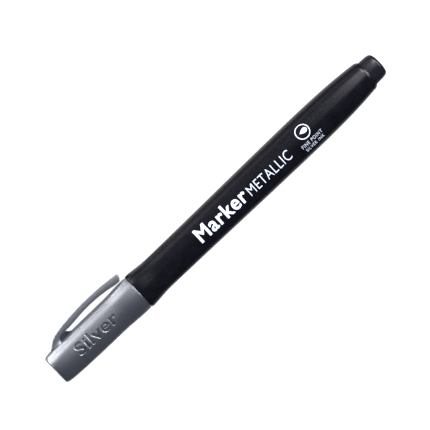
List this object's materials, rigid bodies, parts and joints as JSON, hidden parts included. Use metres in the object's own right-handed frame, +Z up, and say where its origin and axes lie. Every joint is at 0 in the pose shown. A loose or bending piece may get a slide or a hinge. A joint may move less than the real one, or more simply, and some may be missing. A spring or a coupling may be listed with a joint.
{
  "type": "felt tip marker",
  "caption": "Capped felt tip marker: waisted black barrel, metallic grey pull-off cap with a springy pocket clip, post at the tail.",
  "frame": {"origin": "on the surface that the pen lies on, under the middle of its bounding box", "axes": "+X along the pen from the cap end to the tail post, +Z up, +Y towards the side that the clip lies on; the pen is rolled until its clip touches the surface"},
  "size_m": [0.14, 0.0156, 0.0128],
  "materials": {
    "barrel_plastic": "satin black moulded polypropylene, white printing",
    "plug_plastic": "satin black moulded polypropylene",
    "cap_plastic": "dark silver pearl moulded plastic",
    "seal_plastic": "soft natural white polyethylene",
    "holder_plastic": "satin black moulded plastic",
    "nib_fibre": "bonded acrylic fibre, stained with silver ink",
    "reservoir_fibre": "polyester fibre soaked in silver ink",
    "film": "clear plastic film"
  },
  "bodies": {
    "pen": {"barrel": "barrel_plastic", "end_plug": "plug_plastic", "nib_holder": "holder_plastic", "nib": "nib_fibre", "ink_reservoir": "reservoir_fibre", "reservoir_film": "film"},
    "cap": {"cap_shell": "cap_plastic", "inner_cap": "seal_plastic"},
    "clip": {"clip_arm": "cap_plastic"}
  },
  "joints": [
    {"name": "cap_pull", "type": "slide", "parent": "pen", "child": "cap", "axis": [-1, 0, 0], "range_m": [0, 0.04]},
    {"name": "clip_flex", "type": "hinge", "parent": "cap", "child": "clip", "pos_m": [-0.05878, 0.00622, 0.00204], "axis": [0, 0.5015, 0.8652], "range_deg": [0, 5], "stiffness_Nm_per_rad": 0.3}
  ]
}
